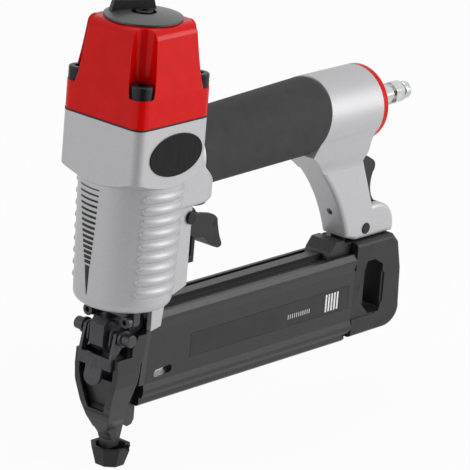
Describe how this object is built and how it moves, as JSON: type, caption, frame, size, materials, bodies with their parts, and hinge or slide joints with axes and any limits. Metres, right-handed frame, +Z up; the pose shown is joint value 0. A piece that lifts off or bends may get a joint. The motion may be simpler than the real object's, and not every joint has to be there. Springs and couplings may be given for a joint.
{
  "type": "pneumatic brad nailer",
  "caption": "Air-powered brad nailer: square-headed cylinder with capped top, rubber-gripped handle with hose nipple, trigger, spring-loaded foot and a sliding side-load magazine.",
  "frame": {"origin": "on the driver's axis, at the underside of the foot that is pressed on the work", "axes": "+Z up along the driver, +X to the rear along handle and magazine, +Y to the tool's right side when it is held and fired"},
  "size_m": [0.2416, 0.0542, 0.2407],
  "materials": {
    "silver_paint": "die-cast, metallic silver lacquer",
    "red_paint": "die-cast, gloss red lacquer",
    "black_coat": "extruded, satin black coat",
    "black_oxide": "black oxide",
    "bare_steel": "ground",
    "chrome_plate": "polished nickel plate",
    "grip_rubber": "matte moulded",
    "seal_rubber": "matte",
    "bumper_rubber": "matte",
    "black_plastic": "fine grain",
    "badge": "gloss",
    "aluminium": "hard anodised",
    "brass": "turned",
    "disc_grey": "pressed, satin grey"
  },
  "bodies": {
    "tool_body": {"body_housing": "silver_paint", "cap_gasket": "seal_rubber", "cylinder_cap": "red_paint", "cap_screws": "black_oxide", "deflector_screw": "black_oxide", "grip_sleeve": "grip_rubber", "end_cap": "red_paint", "end_cap_seal": "seal_rubber", "end_cap_screws": "black_oxide", "air_plug": "chrome_plate", "side_badges": "badge", "cylinder_sleeve": "aluminium", "cylinder_seal": "seal_rubber", "bumper": "bumper_rubber", "head_valve_spring": "bare_steel", "valve_body": "black_plastic", "valve_seals": "seal_rubber", "valve_seat": "brass", "valve_spring": "bare_steel", "trigger_pin": "black_oxide", "trigger_spring": "bare_steel", "safety_spring": "bare_steel", "nose_body": "black_oxide", "door_pin": "bare_steel", "nose_screws": "black_oxide", "nose_pin": "black_oxide", "nose_shell": "black_coat", "magazine_rail": "black_coat", "magazine_bracket": "black_coat", "bracket_screws": "black_oxide", "leg_bolt": "black_oxide", "latch_pin": "bare_steel", "latch_spring": "bare_steel"},
    "deflector": {"exhaust_disc": "disc_grey", "exhaust_deflector": "black_plastic"},
    "trigger_body": {"trigger": "black_plastic", "lever_pin": "black_oxide"},
    "rocker": {"trigger_lever": "bare_steel"},
    "stem": {"valve_stem": "bare_steel"},
    "head_valve_body": {"head_valve": "black_plastic"},
    "driver": {"piston": "aluminium", "piston_ring": "seal_rubber", "driver_blade": "bare_steel"},
    "safety": {"safety_arm": "black_oxide", "no_mar_foot": "seal_rubber"},
    "door": {"nose_door": "black_oxide"},
    "latch_lever": {"nose_latch": "black_oxide"},
    "bail": {"latch_bail": "black_oxide"},
    "cover": {"magazine_cover": "black_coat", "window_strip": "chrome_plate", "cover_handle": "black_plastic", "cover_screws": "black_oxide", "label_plates": "black_plastic", "pusher_rod": "bare_steel"},
    "pusher": {"nail_pusher": "black_plastic", "pusher_spring": "bare_steel"},
    "magazine_catch": {"magazine_latch": "black_plastic"}
  },
  "joints": [
    {"name": "deflector_turn", "type": "hinge", "parent": "tool_body", "child": "deflector", "pos_m": [0, 0, 0.2345], "axis": [0, 0, 1], "continuous": true},
    {"name": "trigger_pull", "type": "hinge", "parent": "tool_body", "child": "trigger_body", "pos_m": [0.0286, 0, 0.129], "axis": [0, -1, 0], "range_deg": [0, 9], "stiffness_Nm_per_rad": 0.6, "springref_deg": -4.01},
    {"name": "rocker_lift", "type": "hinge", "parent": "trigger_body", "child": "rocker", "pos_m": [0.057, 0, 0.1182], "axis": [0, 1, 0], "range_deg": [0, 8]},
    {"name": "stem_lift", "type": "slide", "parent": "tool_body", "child": "stem", "axis": [0, 0, 1], "range_m": [0, 0.0022], "deforming": ["valve_spring"]},
    {"name": "head_valve_lift", "type": "slide", "parent": "tool_body", "child": "head_valve_body", "axis": [0, 0, 1], "range_m": [0, 0.004], "stiffness_N_per_m": 900, "springref_m": -0.004, "deforming": ["head_valve_spring"]},
    {"name": "driver_stroke", "type": "slide", "parent": "tool_body", "child": "driver", "axis": [0, 0, -1], "range_m": [0, 0.066]},
    {"name": "safety_slide", "type": "slide", "parent": "tool_body", "child": "safety", "axis": [0, 0, 1], "range_m": [0, 0.007], "stiffness_N_per_m": 700, "springref_m": -0.004, "deforming": ["safety_spring"]},
    {"name": "door_swing", "type": "hinge", "parent": "tool_body", "child": "door", "pos_m": [-0.0032, 0, 0.0175], "axis": [0, -1, 0], "range_deg": [0, 10]},
    {"name": "latch_lever_swing", "type": "hinge", "parent": "tool_body", "child": "latch_lever", "pos_m": [-0.0108, 0, 0.0723], "axis": [0, 1, 0], "range_deg": [0, 100]},
    {"name": "bail_swing", "type": "hinge", "parent": "tool_body", "child": "bail", "pos_m": [-0.0096, 0, 0.079], "axis": [0, 1, 0], "range_deg": [0, 25]},
    {"name": "cover_slide", "type": "slide", "parent": "tool_body", "child": "cover", "axis": [1, 0, 0], "range_m": [0, 0.12]},
    {"name": "pusher_slide", "type": "slide", "parent": "cover", "child": "pusher", "axis": [1, 0, 0], "range_m": [0, 0.11], "stiffness_N_per_m": 10, "springref_m": -0.5},
    {"name": "catch_press", "type": "hinge", "parent": "tool_body", "child": "magazine_catch", "pos_m": [0.1902, 0, 0.099], "axis": [0, -1, 0], "range_deg": [0, 8], "stiffness_Nm_per_rad": 0.4, "springref_deg": -4.01}
  ],
  "couplings": [
    {"joint": "rocker_lift", "follows": "safety_slide", "rad_per_m": 19.94},
    {"joint": "stem_lift", "follows": "trigger_pull", "m_per_rad": 0.014},
    {"joint": "bail_swing", "follows": "latch_lever_swing", "ratio": 0.25}
  ]
}
